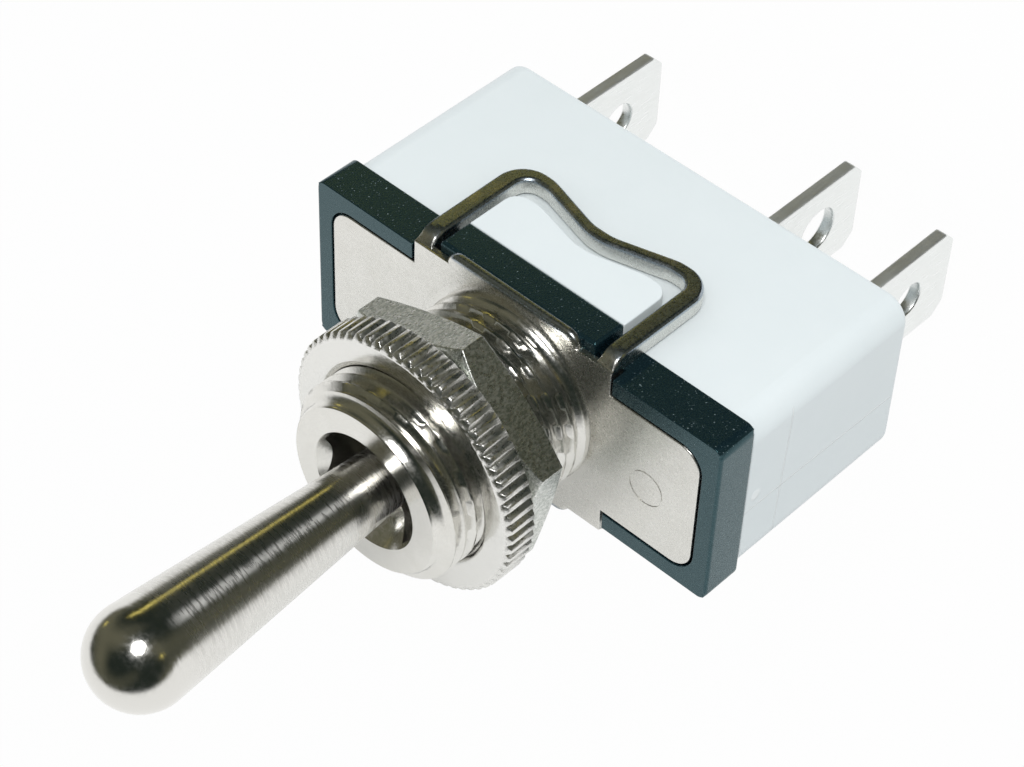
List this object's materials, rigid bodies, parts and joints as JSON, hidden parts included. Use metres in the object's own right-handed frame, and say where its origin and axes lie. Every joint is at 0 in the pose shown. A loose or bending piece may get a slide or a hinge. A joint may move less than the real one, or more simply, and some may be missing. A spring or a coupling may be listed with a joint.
{
  "type": "panel toggle switch",
  "caption": "Panel-mount toggle switch: upright bat lever in a threaded metal bushing with ring and hexagon nuts, black tray, white case with crimped loops, push-on tabs.",
  "frame": {"origin": "on the bushing's axis at the exposed thread, 0.1 mm in front of the ring nut's front face", "axes": "+Z along the bushing's axis towards the lever's tip, X along the case's long side, Y across the case; the common tab is on the -X side"},
  "size_m": [0.0296, 0.016, 0.0549],
  "materials": {
    "nickel_casting": "nickel plate on a slightly grainy casting",
    "nickel_nuts": "bright nickel plate",
    "nickel_lever": "bright nickel plate with fine turning marks",
    "black_moulding": "speckled black thermoset, half gloss",
    "white_moulding": "cool white thermoset, half gloss",
    "tinned_brass": "tin plate, satin",
    "contact_silver": "satin silver",
    "rocker_copper": "rolled copper alloy",
    "pin_steel": "ground steel",
    "plunger_nylon": "natural nylon",
    "spring_steel": "spring wire"
  },
  "bodies": {
    "switch_body": {"bushing_frame": "nickel_casting", "insulating_frame": "black_moulding", "case": "white_moulding", "throw_terminal_left": "tinned_brass", "throw_terminal_right": "tinned_brass", "common_terminal": "tinned_brass", "fixed_contact_left": "contact_silver", "fixed_contact_right": "contact_silver", "lever_pin": "pin_steel"},
    "lever": {"lever": "nickel_lever", "plunger_spring": "spring_steel"},
    "plunger": {"plunger": "plunger_nylon"},
    "rocker": {"rocker": "rocker_copper", "rocker_contact_left": "contact_silver", "rocker_contact_right": "contact_silver"},
    "hex_nut": {"hex_nut": "nickel_nuts"},
    "ring_nut": {"ring_nut": "nickel_nuts"}
  },
  "joints": [
    {"name": "lever_throw", "type": "hinge", "parent": "switch_body", "child": "lever", "pos_m": [0, 0, -0.0032], "axis": [0, 1, 0], "range_deg": [-13, 13]},
    {"name": "plunger_press", "type": "slide", "parent": "lever", "child": "plunger", "axis": [0, 0, 1], "range_m": [0, 0.0008], "stiffness_N_per_m": 600, "springref_m": -0.0015, "deforming": ["plunger_spring"]},
    {"name": "rocker_tilt", "type": "hinge", "parent": "switch_body", "child": "rocker", "pos_m": [0, 0, -0.0178], "axis": [0, 1, 0], "range_deg": [-6.5, 6.5]},
    {"name": "hex_nut_turn", "type": "hinge", "parent": "switch_body", "child": "hex_nut", "pos_m": [0, 0, -0.0035], "axis": [0, 0, 1], "continuous": true},
    {"name": "ring_nut_turn", "type": "hinge", "parent": "switch_body", "child": "ring_nut", "pos_m": [0, 0, -0.0012], "axis": [0, 0, 1], "continuous": true}
  ],
  "couplings": [
    {"joint": "rocker_tilt", "follows": "lever_throw", "ratio": -0.5}
  ]
}
